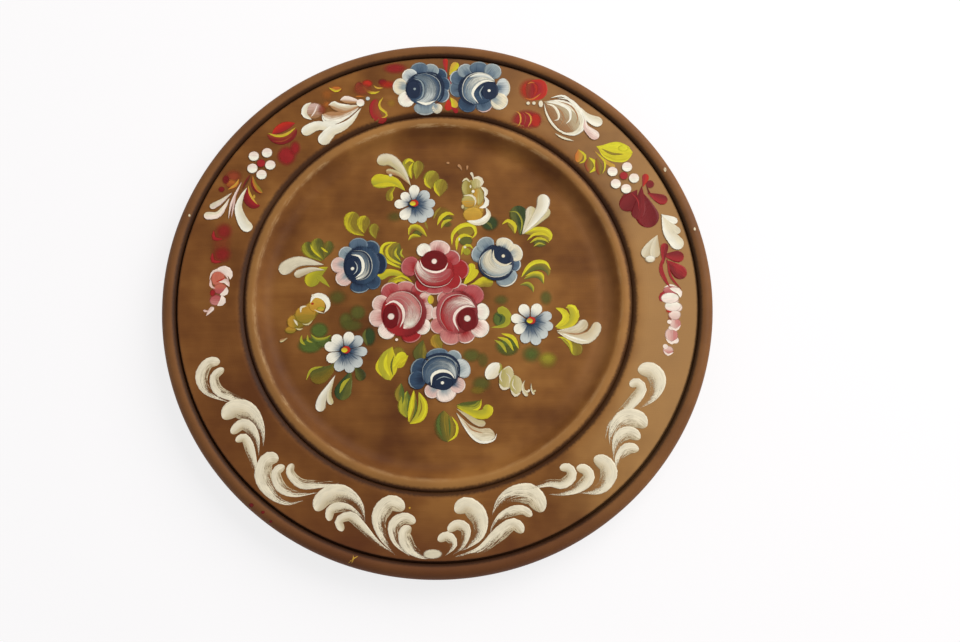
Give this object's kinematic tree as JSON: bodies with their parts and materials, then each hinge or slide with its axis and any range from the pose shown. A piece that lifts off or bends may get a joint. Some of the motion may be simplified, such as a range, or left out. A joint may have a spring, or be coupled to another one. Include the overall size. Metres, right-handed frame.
{
  "type": "wall plate",
  "caption": "Turned wooden wall plate with a folk-painted rim and well, and a swinging wire ring on the back to hang it by.",
  "frame": {"origin": "middle of the foot's resting plane, under the centre of the plate", "axes": "+Z out of the painted face along the lathe axis, +Y towards the top of the plate as it hangs"},
  "size_m": [0.2898, 0.29, 0.0185],
  "materials": {
    "stained_wood": "brown stain under a satin varnish",
    "strap_brass": "brass plated sheet steel, dulled",
    "ring_steel": "plain drawn wire, dulled",
    "screw_brass": "brass plated, worn at the slot",
    "cream_paint": "hand brushed paint under varnish",
    "white_paint": "hand brushed paint under varnish",
    "red_paint": "hand brushed paint under varnish",
    "blue_paint": "hand brushed paint under varnish",
    "green_paint": "hand brushed paint under varnish",
    "yellow_paint": "hand brushed paint under varnish"
  },
  "bodies": {
    "plate": {"turned_plate": "stained_wood", "hanger_strap": "strap_brass", "strap_screw_upper": "screw_brass", "strap_screw_lower": "screw_brass"},
    "ring": {"hanger_ring": "ring_steel"}
  },
  "joints": [
    {"name": "ring_swing", "type": "hinge", "parent": "plate", "child": "ring", "pos_m": [0, 0.086, 0.00285], "axis": [-1, 0, 0], "range_deg": [-5, 172]}
  ]
}
